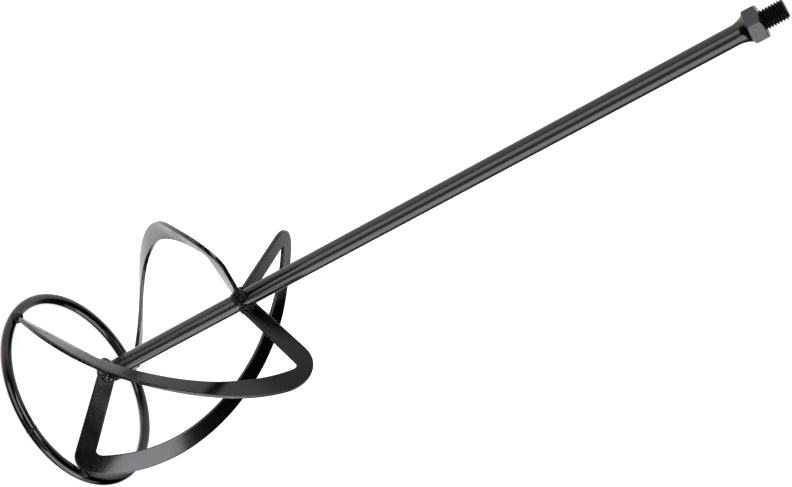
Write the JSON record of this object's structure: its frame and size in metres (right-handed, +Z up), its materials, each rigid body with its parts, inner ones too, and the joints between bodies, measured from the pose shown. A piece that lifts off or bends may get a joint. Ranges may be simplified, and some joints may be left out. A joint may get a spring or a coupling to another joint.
{
  "type": "mortar mixing paddle",
  "caption": "Black lacquered steel mortar paddle: twisted C-shaped vanes welded round a tubular shaft, with a bottom ring and a threaded hexagon drive.",
  "frame": {"origin": "on the shaft's axis, in the plane that the bottom ring rests on", "axes": "+Z up the shaft's axis, from the bottom ring to the drive thread; +X and +Y are level, with the ring's butt joint near -Y"},
  "size_m": [0.1629, 0.1608, 0.6],
  "materials": {
    "black_lacquer": "glossy black lacquer on steel",
    "black_oxide": "satin blackened steel",
    "lacquered_weld": "rippled weld bead under black lacquer"
  },
  "bodies": {
    "root": {"shaft_tube": "black_lacquer", "shaft_end_plug": "black_lacquer", "drive_spindle": "black_oxide", "neck_weld": "black_lacquer", "bottom_ring": "black_lacquer", "ring_joint_weld": "lacquered_weld", "vane_1": "black_lacquer", "vane_2": "black_lacquer", "vane_3": "black_lacquer", "upper_left_weld_1": "lacquered_weld", "upper_left_weld_2": "lacquered_weld", "upper_left_weld_3": "lacquered_weld", "upper_right_weld_1": "lacquered_weld", "upper_right_weld_2": "lacquered_weld", "upper_right_weld_3": "lacquered_weld", "lower_left_weld_1": "lacquered_weld", "lower_left_weld_2": "lacquered_weld", "lower_left_weld_3": "lacquered_weld", "lower_right_weld_1": "lacquered_weld", "lower_right_weld_2": "lacquered_weld", "lower_right_weld_3": "lacquered_weld", "ring_left_weld_1": "lacquered_weld", "ring_left_weld_2": "lacquered_weld", "ring_left_weld_3": "lacquered_weld", "ring_right_weld_1": "lacquered_weld", "ring_right_weld_2": "lacquered_weld", "ring_right_weld_3": "lacquered_weld"}
  },
  "joints": []
}
